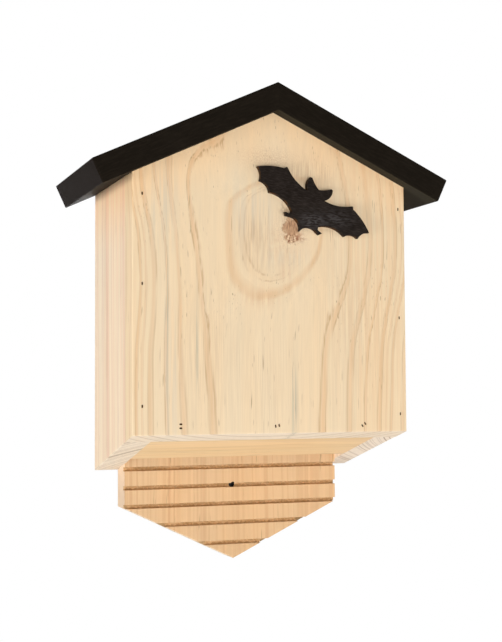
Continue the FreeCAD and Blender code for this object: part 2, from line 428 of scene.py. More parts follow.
front = block("front_board", (-half_w, front_y, -4 * spare),
              (half_w, front_y + board_t, ridge_z + spare))
for outwards in roof_cuts:
    saw(front, (0, 0, ridge_z), outwards)
saw(front, (0, front_y, 0), slant_cut)
ease(front, lambda p: near(p.y, front_y) and p.z < eaves_z)
for row in ("front_left_brads", "front_right_brads", "floor_brads"):
    brad_slots(front, row, (0, front_y, 0), (0, -1, 0))
finish_board(front, "front_panel", slot="front_pine")

# %% [markdown]
# ## Sides
# The two sides are mirror images. One could be modelled and mirrored, but a mirror turns a
# mesh inside out, so each is sawn from its own block. They are sanded where hands touch them,
# on the outer edges at the wall and at the bottom.

# %% Sides
def side_board(name, sign):
    """One upright side, cut to the roof and the slant."""
    x_low, x_high = sorted((sign * inner_half_w, sign * half_w))
    side = block(name, (x_low, front_y + board_t, -8 * spare), (x_high, 0, ridge_z))
    saw(side, (0, 0, ridge_z), (sign * math.sin(pitch), 0, math.cos(pitch)))
    saw(side, (0, front_y, 0), slant_cut)
    ease(side, lambda p: near(abs(p.x), half_w) and (near(p.y, 0) or p.z < 0))
    return side


left = side_board("left_board", -1)
right = side_board("right_board", 1)
finish_board(left, "left_side", slot="side_pine")
finish_board(right, "right_side", slot="side_pine")

# %% [markdown]
# ## Back panel and landing board
# The back panel fits between the sides, under the roof, and ends in a blunt point below the
# box. It is sawn like the front, with two more cuts for the point, whose edges are sanded.

# %% Back panel
point_slope = math.radians(25.5)
shoulder_z = -63 * mm
point_z = shoulder_z - inner_half_w * math.tan(point_slope)

back = block("back_board", (-inner_half_w, -back_t, point_z - spare),
             (inner_half_w, 0, ridge_z + spare))
for outwards in roof_cuts:
    saw(back, (0, 0, ridge_z), outwards)
for sign in (-1, 1):
    saw(back, (0, 0, point_z), (sign * math.sin(point_slope), 0, -math.cos(point_slope)))
ease(back, lambda p: p.z < shoulder_z and not near(p.y, -back_t / 2))
print("point at", round(point_z / mm, 1), "mm")

# %% [markdown]
# The screw hole in the landing board goes right through. The hanger plate is let into the back,
# with a pocket behind its keyhole, long enough for the head of the wall screw to slide up in.

# %% Screw hole, plate recess and pocket
wall_hole_r, wall_hole_z = 2.25 * mm, -46 * mm
plate_corner = 4 * mm
seat_above_mid = 5 * mm
slide = 10 * mm
pocket_r = pocket_depth = 7 * mm


def bore(radius, z, y_low, y_high):
    """A round cutter along Y, on the middle line."""
    bpy.ops.object.select_all(action="DESELECT")
    bpy.ops.mesh.primitive_cylinder_add(
        vertices=40, radius=radius, depth=y_high - y_low,
        location=(0, (y_low + y_high) / 2, z), rotation=(math.pi / 2, 0, 0))
    bpy.ops.object.transform_apply()
    return bpy.context.active_object


cut_out(back, bore(wall_hole_r, wall_hole_z, -back_t - spare, spare))

plate_low, plate_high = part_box("hanger_plate")
plate_mid_z = (plate_low.z + plate_high.z) / 2
recess = block("cutter", plate_low, plate_high + Vector((0, spare, 0)))
ease(recess, lambda p: near(abs(p.x), plate_high.x) and not near(p.z, plate_mid_z),
     width=plate_corner, segments=6)
cut_out(back, recess)

seat_z = plate_mid_z + seat_above_mid
pocket_y, mouth_y = plate_low.y - pocket_depth, plate_low.y + spare / 10
for z in (seat_z - slide, seat_z):
    cut_out(back, bore(pocket_r, z, pocket_y, mouth_y))
cut_out(back, block("cutter", (-pocket_r, pocket_y, seat_z - slide), (pocket_r, mouth_y, seat_z)))
print("screw hole at", round(wall_hole_z / mm, 1), "mm, keyhole's seat at", round(seat_z / mm, 1))

# %% [markdown]
# The brads that hold the back panel are driven aslant from behind, into the sides, so their
# slots lean as well.

# %% Brad slots of the back panel
brad_lean = math.radians(32)
brad_inset = 7 * mm
for name, sign in (("left", -1), ("right", 1)):
    outwards = (-sign * math.sin(brad_lean), math.cos(brad_lean), 0)
    brad_slots(back, f"back_{name}_brads", (sign * (inner_half_w - brad_inset), 0, 0), outwards)

# %% [markdown]
# Saw cuts run across the panel's whole face, and give the bats a hold on the way up. A saw
# leaves a slightly ragged cut in soft pine, so the cutter is divided along its length, its
# points are moved a little at random and its bent faces are split into triangles. The slivers
# that such a cut can leave in the board are dissolved.

# %% Grooves
groove_h = 3.5 * mm
groove_depth = 4 * mm
first_groove_z = -30.8 * mm
outer_steps = (15.7 * mm, 15.4 * mm, 16.0 * mm, 16.8 * mm)
inner_pitch = 16 * mm
inner_top = eaves_z - 20 * mm
divisions = 70
ragged_by = 0.16 * mm
sliver = 0.1 * mm

groove_heights = [first_groove_z]
for drop in outer_steps:
    groove_heights.insert(0, groove_heights[0] - drop)
while groove_heights[-1] + inner_pitch < inner_top:
    groove_heights.append(groove_heights[-1] + inner_pitch)


def saw_cut(z, seed):
    """A long thin block with slightly ragged edges."""
    cutter = block("cutter", (-half_w, -back_t - spare, z - groove_h / 2),
                   (half_w, -back_t + groove_depth, z + groove_h / 2))
    edit_edges(cutter, lambda a, b: abs(a.x - b.x) > half_w)
    bpy.ops.mesh.subdivide_edgering(number_cuts=divisions)
    bpy.ops.mesh.select_all(action="SELECT")
    bpy.ops.transform.vertex_random(offset=ragged_by, seed=seed)
    bpy.ops.mesh.quads_convert_to_tris()
    leave()
    return cutter


for seed, z in enumerate(groove_heights):
    cut_out(back, saw_cut(z, seed))
edit(back)
bpy.ops.mesh.dissolve_degenerate(threshold=sliver)
leave()
print(len(groove_heights), "grooves from", round(groove_heights[0] / mm, 1), "mm up")

finish_board(back, "back_panel", slot="landing_pine")

# %% [markdown]
# ## Floor strip
# A narrow strip lies in the slanted bottom, and leaves the bats a slot along the back panel.
# Both its broad faces are cut to the slant, and only the edges at the slot are sanded.

# %% Floor strip
strip_low, strip_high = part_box("floor_strip")
trim = Vector((0, 0, spare))
strip = block("floor_board", strip_low - trim, strip_high + trim)
saw(strip, (0, front_y, 0), slant_cut)
saw(strip, (0, front_y, board_t / math.cos(slant)), -slant_cut)
ease(strip, lambda p: near(p.y, strip_high.y) and near(p.x, 0))
finish_board(strip, "floor_strip", slot="floor_pine")

# %% [markdown]
# ## Roof boards
# Each roof board is sawn square at the eaves and mitred at the ridge, where the two meet. All
# its free edges are rounded a little more than the box's, because a thick stain rounds them too.

# %% Roof boards
overhang = 28 * mm
roof_arris = 1.05 * mm


def free_edge(p):
    """True on all edges but the mitre's and the hidden one on the wall."""
    underside = ridge_z - abs(p.x) * math.tan(pitch)
    return not (near(p.x, 0) or (near(p.y, 0) and near(p.z, underside)))


def roof_board(name, sign):
    """One slope of the roof."""
    low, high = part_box(f"roof_{name}")
    trim = Vector((spare, 0, spare))
    board = block(f"{name}_roof_board", low - trim, high + trim)
    up_slope = Vector((sign * math.sin(pitch), 0, math.cos(pitch)))
    down_slope = Vector((sign * math.cos(pitch), 0, -math.sin(pitch)))
    ridge = Vector((0, 0, ridge_z))
    run = half_w / math.cos(pitch) + overhang
    saw(board, ridge, (-sign, 0, 0))
    saw(board, ridge, -up_slope)
    saw(board, ridge + up_slope * board_t, up_slope)
    saw(board, ridge + down_slope * run, down_slope)
    ease(board, free_edge, width=roof_arris)
    brad_slots(board, f"roof_{name}_brads", ridge + up_slope * board_t, up_slope)
    finish_board(board, f"roof_{name}", slot="roof_stain")
    return board


roof_left = roof_board("left", -1)
roof_right = roof_board("right", 1)

# %% [markdown]
# ## Bat emblem
# The bat is sawn from thin board. Its outline is already right, so a copy of the solid is
# merged, its flat faces become single faces again, and the sharp front outline is rounded.

# %% Bat emblem
emblem_arris = 0.35 * mm
emblem = merged_copy("bat_emblem", "bat_cutout")
edit(emblem)
bpy.ops.mesh.dissolve_limited(angle_limit=math.radians(1))
leave()
emblem_low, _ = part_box("bat_emblem")
ease(emblem, lambda p: near(p.y, emblem_low.y), width=emblem_arris, segments=2)
finish_board(emblem, "bat_emblem", slot="emblem_stain")

# %% [markdown]
# ## Screws of the hanger plate
# The two screws are flat-headed, with a cross recess: two thin slots cut out of each head.

# %% Screws
screw_from_mid = 19 * mm
cross_long, cross_thin, cross_depth = 1.7 * mm, 0.35 * mm, 1.1 * mm
screws = merged_copy("hanger_screws", "plate_screws")
for end in (-1, 1):
    z = plate_mid_z + end * screw_from_mid
    for half_x, half_z in ((cross_long, cross_thin), (cross_thin, cross_long)):
        cut_out(screws, block("cutter", (-half_x, -cross_depth, z - half_z),
                              (half_x, spare, z + half_z)))
finish_board(screws, "hanger_screws", slot="zinc_screw")

# %% [markdown]
# ## Pine
# Pine is pale wood between narrow darker rings. A tree is a bundle of tubes, so the colour at a
# place depends on its distance from the pith. If the rings are worked out in space, every cut
# through them is right by itself: ovals on a flat-sawn face, straight lines on a quarter-sawn
# one and arcs on the ends. The group takes a place in the tree, with the pith along Z, and the
# number of rings from the pith to there. Four noises, stretched along the pith, do the rest.

# %% The pine group
def new_group(name, takes, gives):
    """A node group. An input without a value is a place, a number a value, a tuple a colour."""
    kinds = {type(None): "Vector", float: "Float", tuple: "Color"}
    group = bpy.data.node_groups.new(name, "ShaderNodeTree")
    for label, value in takes.items():
        kind = "NodeSocket" + kinds[type(value)]
        socket = group.interface.new_socket(label, in_out="INPUT", socket_type=kind)
        if value is not None:
            socket.default_value = value
    for label, kind in gives.items():
        group.interface.new_socket(label, in_out="OUTPUT", socket_type="NodeSocket" + kind)
    return group, node(group, "NodeGroupInput").outputs, node(group, "NodeGroupOutput")


pine, takes, gives = new_group(
    "pine",
    {"Place": None, "Rings": 1.0, "Strength": 1.0, "Lines": 1.0, "End": 0.0, "Grain": 1.0,
     "Pale": tint(243, 217, 180), "Late": tint(233, 200, 160), "Line": tint(202, 166, 130),
     "End Pale": tint(245, 227, 203), "End Line": tint(214, 190, 162)},
    {"Color": "Color", "Roughness": "Float", "Height": "Float"})
place = takes["Place"]
drift = noise(pine, place, (38, 38, 2.5))
streak = noise(pine, place, (110, 110, 5))
fibre = noise(pine, place, (280, 280, 6), detail=3, roughness=0.65)
fine = noise(pine, place, (1000, 1000, 16))
print("pine takes", [socket.name for socket in takes if socket.name])

# %% [markdown]
# Within one ring the wood darkens outwards and is palest at the start of the next. Two thin
# lines, one where the dark part begins and one where it ends, come and go along the board.
# Where each begins, is full, begins to fade and is gone is given in parts of the ring's width.

# %% Late wood and ring lines
late_part = (0.47, 0.74, 0.78, 1.0)
outer_line_part = (0.82, 0.9, 0.92, 1.0)
inner_line_part = (0.46, 0.54, 0.56, 0.66)
end_line_part = (0.5, 0.86, 0.92, 1.0)


def band(tree, value, start, full, fade, gone):
    """1 between the middle two values, and 0 outside the outer two."""
    return times(tree, step(tree, value, start, full), fall(tree, value, fade, gone))


raggedness = step(pine, takes["End"], 0.0, 1.0, 0.22, 0.03)
ragged = scaled(pine, calc(pine, "SUBTRACT", fibre, 0.5), raggedness, takes["Rings"])
part = calc(pine, "FRACT", ragged)

late = band(pine, part, *late_part)
late_here = times(pine, late, times(pine, streak, 2.0))
late_here = calc(pine, "MULTIPLY", late_here, takes["Strength"], clamp=True)
wood = mix(pine, late_here, takes["Pale"], takes["Late"])

outer_line = times(pine, band(pine, part, *outer_line_part), step(pine, streak, 0.36, 0.56))
inner_line = times(pine, band(pine, part, *inner_line_part), fall(pine, streak, 0.44, 0.64))
lines = times(pine, calc(pine, "ADD", outer_line, inner_line), step(pine, fine, 0.3, 0.6))
lines = calc(pine, "MULTIPLY", lines, times(pine, takes["Lines"], 0.8), clamp=True)
wood = mix(pine, lines, wood, takes["Line"])
print(len(pine.nodes), "nodes for the rings")

# %% [markdown]
# Over the rings lie slow changes of warmth, the fibre and short dark resin lines. The ends show
# the rings as plain lines, in two colours of their own.

# %% Fibre, resin lines and end grain
cool, warmer = (0.985, 0.998, 1.012, 1), (1.012, 0.99, 0.962, 1)
resin_shade = (0.72, 0.72, 0.72, 1)

wood = mix(pine, 1.0, wood, mix(pine, step(pine, drift, 0.35, 0.65), cool, warmer), how="MULTIPLY")
grain = scaled(pine, fibre, 0.3, scaled(pine, fine, 0.16, -0.23))
grain = scaled(pine, grain, takes["Grain"], 1.0)
wood = mix(pine, 1.0, wood, grain, how="MULTIPLY")
resin = noise(pine, place, (1200, 1200, 60), detail=0)
resin = times(pine, step(pine, resin, 0.73, 0.82), step(pine, streak, 0.45, 0.6, 0.0, 0.7))
resin_wood = mix(pine, 1.0, takes["Line"], resin_shade, how="MULTIPLY")
wood = mix(pine, resin, wood, resin_wood)

end_line = band(pine, part, *end_line_part)
end_line = calc(pine, "MULTIPLY", end_line, takes["Strength"], clamp=True)
end_wood = mix(pine, end_line, takes["End Pale"], takes["End Line"])
end_wood = mix(pine, 1.0, end_wood, grain, how="MULTIPLY")
wire(gives, {
    "Color": mix(pine, takes["End"], wood, end_wood),
    "Roughness": scaled(pine, late, -0.08, scaled(pine, fine, 0.12, 0.62)),
    "Height": calc(pine, "ADD", times(pine, fibre, 0.7), times(pine, fine, 0.5))})
print(len(pine.nodes), "nodes in the pine group")

# %% [markdown]
# Most boards need only their place in the tree: where the pith was, and how wide the rings are.
# The rings are never quite round or even, so slow noise bends them and changes their width,
# and each has a strength of its own.

# %% Rings of a plain board
rings, takes, gives = new_group(
    "rings", {"Place": None, "Width": 0.008, "Waviness": 0.004, "Contrast": 1.0},
    {"Rings": "Float", "Strength": "Float", "Place": "Vector"})
bend = noise(rings, takes["Place"], (9, 9, 3.2), output="Color")
bend = vector(rings, "SUBTRACT", bend, (0.5, 0.5, 0.5))
bend = vector(rings, "MULTIPLY", bend, takes["Waviness"])
bent = vector(rings, "ADD", takes["Place"], stretched(rings, bend, 2, 2, 0))
reach = length(rings, stretched(rings, bent, 1, 1, 0))
count = calc(rings, "DIVIDE", reach, takes["Width"])
uneven = node(rings, "ShaderNodeTexNoise", {"W": times(rings, count, 0.45), "Detail": 1.0},
              noise_dimensions="1D").outputs[0]
count = scaled(rings, uneven, 2.4, count)
own = node(rings, "ShaderNodeTexWhiteNoise", {"W": calc(rings, "FLOOR", count)},
           noise_dimensions="1D").outputs["Value"]
own = times(rings, scaled(rings, own, 0.6, 0.4), takes["Contrast"])
wire(gives, {"Strength": own, "Rings": count, "Place": bent})
print(len(rings.nodes), "nodes in the rings group")

# %% [markdown]
# A board's material places both groups and wires them to the shader. Whether a face is an end
# is told by its direction: an end looks along the grain. A wood may then be darkened or warmed
# in places, by saw marks or by painted shade, before its colour reaches the shader.

# %% A material for a board
upright = (0, 0, 1)


def use(tree, group, wires):
    """Place a node group in a tree."""
    return node(tree, "ShaderNodeGroup", wires, node_tree=group).outputs


def true_normal(tree):
    return node(tree, "ShaderNodeNewGeometry").outputs["True Normal"]


def facing(tree, direction):
    """1 on faces that look this way, 0 across it and -1 on those that look away."""
    return vector(tree, "DOT_PRODUCT", true_normal(tree), direction, output="Value")


def end_mask(tree, along):
    """1 on faces that look along the grain, 0 on the others."""
    return step(tree, calc(tree, "ABSOLUTE", facing(tree, along)), 0.55, 0.75)


def in_frame(tree, place, origin, turn):
    """The place in a frame that has this origin and is turned this way."""
    return node(tree, "ShaderNodeMapping", {"Vector": place, "Location": origin, "Rotation": turn},
                vector_type="TEXTURE").outputs[0]


def relief(tree, height, strength):
    """Let the fibre stand out a little."""
    wires = {"Height": height, "Strength": strength, "Distance": 0.2 * mm}
    return node(tree, "ShaderNodeBump", wires).outputs[0]


def finish_wood(tree, shader, look, color, gloss=0.3):
    """Wire a wood's colour, roughness and height to the shader."""
    wire(shader, {"Base Color": color, "Roughness": look["Roughness"],
                  "Normal": relief(tree, look["Height"], 0.25), "Specular IOR Level": gloss})


def pine_board(piece, name, pith, turn, width, along=upright, waviness=0.004, contrast=1.0,
               marks_and_shade=None, gloss=0.3, **look):
    """Plain pine for a piece. The pith passes through this place, turned this way."""
    material, tree, shader = new_material(name)
    coords = own_place(tree)
    ring = use(tree, rings, {"Place": in_frame(tree, coords, pith, turn), "Width": width,
                             "Waviness": waviness, "Contrast": contrast})
    wires = {"Place": ring["Place"], "Rings": ring["Rings"], "Strength": ring["Strength"],
             "Lines": ring["Strength"], "End": end_mask(tree, along)}
    wires.update((key.replace("_", " "), value) for key, value in look.items())
    made = use(tree, pine, wires)
    # The local change of colour here is saw marks, painted shade or both.
    color = marks_and_shade(tree, coords, made["Color"]) if marks_and_shade else made["Color"]
    finish_wood(tree, shader, made, color, gloss)
    piece.data.materials.append(material)
    print(name, "on", piece.name, "with rings of", round(width / mm, 1), "mm")


# %% [markdown]
# Close below the roof the pale wood gets a painted warm shade. In the saw cuts the wood is
# darker, partly as rough-sawn wood and partly as painted shade, and a saw's marks run along the
# cut. The screw hole is painted dark as shade. The back panel's long edges are paler.

# %% Painted warm shade and dark places
eave_shade_tint = (1.14, 0.93, 0.72, 1)
eave_shade_depth = 60 * mm
cut_dark_and_shade, cut_pale = tint(199, 158, 109), tint(224, 184, 137)
hole_shade, edge_pale = tint(40, 22, 6), tint(240, 216, 190)


def painted_eave_shade(tree, coords, color, depth=eave_shade_depth, amount=0.7):
    """Painted warm shade on the wood close below the roof."""
    x, _, z = split(tree, coords)
    roof = scaled(tree, calc(tree, "ABSOLUTE", x), -math.tan(pitch), ridge_z)
    below = calc(tree, "SUBTRACT", roof, z)
    # The wood is mixed towards a warmer, redder tint close below the roof: painted warm shade.
    return mix(tree, fall(tree, below, 0.0, depth, amount), color,
               mix(tree, 1.0, color, eave_shade_tint, how="MULTIPLY"))


def saw_marks_and_shade(tree, coords, color):
    """Darker wood in the saw cuts, partly rough-sawn and partly painted shade, and painted shade in
    the screw hole of the back panel.
    """
    y = split(tree, coords)[1]
    across = calc(tree, "ABSOLUTE", split(tree, true_normal(tree))[0])
    floor_y = -back_t + groove_depth
    # The cuts' darker colour is partly rough-sawn wood and partly painted shade in the recess.
    in_cut_shade = band(tree, y, -back_t + 0.25 * mm, -back_t + 1.2 * mm,
                  floor_y + 0.3 * mm, floor_y + 0.8 * mm)
    in_cut_shade = times(tree, in_cut_shade, fall(tree, across, 0.25, 0.38))
    burr = noise(tree, coords, (70, 900, 900), detail=3)
    color = mix(tree, in_cut_shade, color, mix(tree, step(tree, burr, 0.35, 0.65), cut_dark_and_shade, cut_pale))
    color = mix(tree, step(tree, across, 0.6, 0.8, 0.0, 0.7), color, edge_pale)
    # The inside of the screw hole is painted near-black as shade.
    from_hole = stretched(tree, vector(tree, "SUBTRACT", coords, (0, 0, wall_hole_z)), 1, 0, 1)
    in_hole_shade = times(tree, fall(tree, length(tree, from_hole), 2.4 * mm, 2.7 * mm),
                    step(tree, y, -back_t + 0.3 * mm, -back_t + 2 * mm))
    return mix(tree, in_hole_shade, color, hole_shade)


print("warm wood reaches", round(eave_shade_depth / mm), "mm below the roof")

# %% [markdown]
# Each plain board was cut from another place in the tree. The narrow straight lines of the
# sides come from a pith far off their faces, and the floor strip's grain lies across the box.

# %% Pine of the plain boards
# The sides get painted warm shade below the roof; the landing board gets its darker cuts, partly
# painted shade, and a painted dark screw hole.
pine_board(left, "left_pine", pith=(107 * mm, 82 * mm, 0), turn=(0, 0.01, 0), width=6 * mm,
           waviness=0.001, contrast=1.3, marks_and_shade=painted_eave_shade,
           Pale=tint(249, 227, 197), Late=tint(243, 209, 180), Line=tint(222, 184, 152),
           End_Line=tint(206, 182, 154))
pine_board(right, "right_pine", pith=(290 * mm, -215 * mm, 0), turn=(0, -0.02, 0),
           width=13 * mm, waviness=0.001, contrast=1.1, marks_and_shade=painted_eave_shade,
           Pale=tint(247, 222, 194), Late=tint(236, 205, 174), Line=tint(212, 176, 144),
           End_Pale=tint(249, 231, 210), End_Line=tint(200, 174, 148))
pine_board(back, "landing_pine", pith=(-300 * mm, 60 * mm, 0), turn=(0, 0, 0), width=14 * mm,
           waviness=0.006, contrast=0.8, marks_and_shade=saw_marks_and_shade, gloss=0.03, Grain=0.6,
           Pale=tint(225, 188, 145), Late=tint(211, 166, 126), Line=tint(203, 160, 117))
pine_board(strip, "floor_pine", pith=(0, -70 * mm, 60 * mm), turn=(0, math.pi / 2, 0),
           width=7 * mm, along=(1, 0, 0), contrast=0.8,
           Pale=tint(244, 210, 162), Late=tint(234, 196, 144), Line=tint(212, 172, 124))

# %% [markdown]
# ## The front panel's figure
# The front is flat-sawn, with the pith in front of it. Low down the trunk was straight, and so
# are the rings. Higher up it bent towards a branch, and the face came nearer to the pith: the
# rings swing out, and in the middle they close in an oval with arches below it. So a curve gives
# the face's distance from the pith at each height, for each of four strips of the panel, which
# run into each other. The branch itself is the knot.

# %% How far the front is from the pith
figure_top = 250
farthest, spread = 114, 20

front_pine, tree, shader = new_material("front_pine")
coords = own_place(tree)
x, y, z = split(tree, coords)
wave = vector(tree, "SUBTRACT", noise(tree, coords, (14, 14, 9), detail=3, output="Color"),
              (0.5, 0.5, 0.5))
wave_x, wave_y, _ = split(tree, wave)


def bow(height, *places):
    """The face's distance from the pith, smooth through these pairs of height and distance."""
    made = node(tree, "ShaderNodeFloatCurve",
                {"Value": calc(tree, "DIVIDE", height, figure_top * mm, clamp=True)})
    points = made.mapping.curves[0].points
    for up, distance in places:
        spot = (up / figure_top, (farthest - distance) / spread)
        if up in (0, figure_top):
            points[0 if up == 0 else len(points) - 1].location = spot
        else:
            points.new(*spot)
    made.mapping.update()
    return scaled(tree, made.outputs[0], -spread * mm, farthest * mm)


def blend(amount, first, second):
    return scaled(tree, calc(tree, "SUBTRACT", second, first), amount, first)


pith_x = scaled(tree, wave_x, 4 * mm, step(tree, z, 60 * mm, 120 * mm, -5 * mm, -2 * mm))
off_x = calc(tree, "SUBTRACT", x, pith_x)
tilted = scaled(tree, off_x, -0.25, z)
far_left = bow(
    z, (0, 110), (60, 109.6), (120, 108.8), (152, 107.2), (175, 103), (202, 99), (250, 96.5))
left_side = bow(
    z, (0, 110), (25, 109.4), (52, 108), (85, 106.2), (115, 103.4), (142, 101.6), (167, 99),
    (192, 97.3), (207, 99), (216, 101.8), (235, 109), (250, 112))
middle = bow(
    tilted, (0, 110), (52, 109), (85, 107.6), (100, 105.9), (109, 102.8), (122, 99.5),
    (135, 97.4), (150, 96.5), (172, 96.2), (186, 96.8), (192, 98.5), (198, 101.8), (206, 105.6),
    (225, 109), (250, 113))
right_side = bow(
    z, (0, 110), (35, 109.4), (70, 108), (90, 105.6), (112, 102), (135, 98.4), (158, 97.6),
    (185, 99), (210, 102), (250, 109))
depth = blend(step(tree, x, -10 * mm, 10 * mm), left_side, right_side)
depth = blend(fall(tree, calc(tree, "ABSOLUTE", off_x), 36 * mm, 62 * mm), depth, middle)
depth = blend(fall(tree, x, -98 * mm, -68 * mm), depth, far_left)
depth = scaled(tree, wave_y, 2.0 * mm, depth)
depth = calc(tree, "ADD", depth, calc(tree, "SUBTRACT", y, front_y))
tree_place = node(tree, "ShaderNodeCombineXYZ", {0: off_x, 1: depth, 2: z}).outputs[0]
reach = length(tree, stretched(tree, tree_place, 1, 1, 0))
print("four curves, up to", figure_top, "mm")

# %% [markdown]
# The knot is a branch that was sawn through. Its own frame lies in the panel's face, with Z
# along the branch, so distances from its middle are easy to take. The rings of the trunk swell
# round it.

# %% Rings round the knot
knot_middle = (15 * mm, front_y, 160 * mm)
knot_lean = 0.15
swell_r, swell_by = 24 * mm, 9 * mm

knot_place = in_frame(tree, coords, knot_middle, (-math.pi / 2 - knot_lean, 0, 0))
knot_flat = stretched(tree, knot_place, 1, 1, 0)
knot_r = length(tree, knot_flat)
swell = calc(tree, "DIVIDE", knot_r, swell_r)
swell = calc(tree, "EXPONENT", times(tree, swell, swell, -1.0))
reach = scaled(tree, swell, -swell_by, reach)
print("knot", [round(v / mm) for v in knot_middle], "mm")

# %% [markdown]
# The front's rings are few and uneven, so they are listed: the distance of each outer edge from
# the pith and the width of its late wood, in mm, then how dark and how lined it is. A curve
# turns the distance into a count of rings, and a colour ramp gives back the two strengths.

# %% Ring edges
seen_rings = (
    (99.8, 1.6, 0.15, 0.6), (104.6, 3.8, 0.8, 0.1), (120.6, 2.8, 0.9, 1.0), (131.7, 3.4, 0.75, 0.6),
    (138.9, 1.8, 0.7, 1.1), (147.4, 3.2, 0.9, 0.7), (150.6, 1.4, 0.5, 0.5), (154.0, 2.2, 0.9, 0.9),
    (162.0, 3.0, 0.7, 0.6), (172.0, 4.0, 0.7, 0.6),
)
near_edge, far_edge = 84, seen_rings[-1][0]
ring_total = len(seen_rings)


def on_chart(distance):
    return (distance - near_edge) / (far_edge - near_edge)


across_rings = {"Value": reach, "From Min": near_edge * mm, "From Max": far_edge * mm}
across_rings = node(tree, "ShaderNodeMapRange", across_rings).outputs[0]
chart = node(tree, "ShaderNodeFloatCurve", {"Value": across_rings})
points = chart.mapping.curves[0].points
darkness = node(tree, "ShaderNodeValToRGB", {"Fac": chart.outputs[0]})
darkness.color_ramp.interpolation = "CONSTANT"
stops = darkness.color_ramp.elements
stops.remove(stops[1])
for number, (edge, late_width, strength, lined) in enumerate(seen_rings):
    points.new(on_chart(edge - late_width), (number + 0.5) / ring_total)
    if number + 1 < ring_total:
        points.new(on_chart(edge), (number + 1) / ring_total)
    stop = stops[0] if number == 0 else stops.new(number / ring_total)
    stop.color = (strength, lined, 0, 1)
for point in points:
    point.handle_type = "VECTOR"
chart.mapping.update()
count = times(tree, chart.outputs[0], ring_total)
print(ring_total, "rings between", near_edge, "and", far_edge, "mm from the pith")

# %% [markdown]
# The rings are fainter at the top right, and they fade close to the knot. The innermost one is
# broken on the knot's side.

# %% Pine of the front
fading = times(tree, step(tree, z, 170 * mm, 215 * mm), step(tree, x, -20 * mm, 30 * mm))
faded = times(tree, scaled(tree, fading, -0.3, 1.0), step(tree, knot_r, 13 * mm, 27 * mm))
broken = times(tree, step(tree, x, 2 * mm, 14 * mm), fall(tree, reach, 100.6 * mm, 101.4 * mm))
faded = times(tree, faded, scaled(tree, broken, -0.8, 1.0))
strength, lined, _ = node(tree, "ShaderNodeSeparateColor", {0: darkness.outputs[0]}).outputs
look = use(tree, pine, {
    "Place": tree_place, "Rings": count, "Strength": times(tree, strength, faded),
    "Lines": times(tree, lined, faded), "End": end_mask(tree, upright), "Grain": 0.5,
    "Pale": tint(244, 219, 182), "Late": tint(235, 200, 157), "Line": tint(202, 163, 118)})
print(len(tree.nodes), "nodes so far")

# %% [markdown]
# A plank is never one colour. A few soft smudges follow the fibre: grey and blue where the
# sapwood has begun to stain, and warm where resin has gathered below the oval. Two dusky ones
# close above the bat are painted shade. Each is a soft oval spot, broken up by streaks along the
# grain.

# %% Smudges
def smudge(tree, coords, x, z, half_x, half_z, across=350, along=9):
    """Soft spot at a place on the front, streaked along the grain. Places are in mm."""
    place = vector(tree, "SUBTRACT", coords, (x * mm, front_y, z * mm))
    place = stretched(tree, place, 1 / (half_x * mm), 0, 1 / (half_z * mm))
    off = vector(tree, "DOT_PRODUCT", place, place, output="Value")
    spot = calc(tree, "EXPONENT", times(tree, off, -1.0))
    streaks = noise(tree, coords, (across, across, along), detail=3)
    return times(tree, spot, step(tree, streaks, 0.4, 0.6))


def smudged(tree, coords, color, smudges):
    """The colour under these smudges. Each has its stain, its amount and its spot."""
    for stain, amount, *spot in smudges:
        amount = times(tree, smudge(tree, coords, *spot), amount)
        color = mix(tree, amount, color, stain)
    return color


grey, blue = tint(224, 208, 184), tint(196, 184, 160)
warm, brown, orange = tint(226, 186, 146), tint(186, 148, 110), tint(240, 203, 158)
# A colour for painted shade on the wood close above the bat.
bat_shade_tint = tint(208, 168, 128)
front_smudges = (
    (orange, 0.35, -106, 100, 10, 160),
    (orange, 0.5, 85, 120, 34, 160),
    (grey, 0.7, -92, 178, 13, 34),
    (grey, 0.6, -84, 40, 6, 60),
    (blue, 0.9, -88, 95, 1.3, 60, 900, 20),
    (blue, 0.9, -64, 62, 1.2, 30, 900, 20),
    (blue, 0.9, 16.5, 16, 2.6, 34, 450, 12),
    (grey, 0.6, -18, 172, 20, 24),
    (grey, 0.5, 10, 138, 22, 8),
    (brown, 0.45, -17, 152, 12, 20, 1500, 40),
    (brown, 0.2, 4, 148, 22, 26, 1500, 40),
    (brown, 0.16, -4, 40, 26, 50, 1300, 22),
    (brown, 0.2, 70, 90, 40, 90, 1300, 16),
    (brown, 0.2, -55, 60, 30, 60, 1300, 24),
    (warm, 0.7, -12, 106, 13, 7),
    (warm, 0.5, 10, 126, 5, 9),
    # The next two are painted shade close above the bat's edge.
    (bat_shade_tint, 0.6, -4, 216, 22, 8, 1800, 700),
    (bat_shade_tint, 0.55, 31, 206, 18, 14, 1500, 60),
    (warm, 0.4, 9, 150, 16, 14, 500, 200),
)
color = smudged(tree, coords, look["Color"], front_smudges)
print(len(front_smudges), "smudges on the front")

# %% [markdown]
# The knot is darker, redder wood with a ragged edge, inside a halo of pale wood with fine lines
# round it. Below it the saw tore the wood: a rim of pale and red-brown flecks. Two small smudges
# lie beside it.

# %% Knot colour
knot_noise = noise(tree, knot_place, (220, 220, 30), detail=4, roughness=0.6)
fleck = noise(tree, knot_place, (520, 520, 100))
hatch = noise(tree, coords, (1100, 1100, 240))
narrowed = length(tree, stretched(tree, knot_flat, 1.2, 1, 0))
knot_edge = scaled(tree, calc(tree, "SUBTRACT", knot_noise, 0.5), 22 * mm, narrowed)

halo_lines = calc(tree, "SINE", times(tree, knot_edge, 2400.0))
halo_wood = mix(tree, step(tree, halo_lines, 0.2, 1.0), tint(242, 216, 180), tint(214, 188, 156))
color = mix(tree, fall(tree, knot_r, 8 * mm, 22 * mm, 0.5), color, halo_wood)
knot_wood = mix(tree, step(tree, hatch, 0.3, 0.7), tint(158, 111, 78), tint(212, 168, 128))
color = mix(tree, fall(tree, knot_edge, 6 * mm, 12 * mm, 0.95), color, knot_wood)

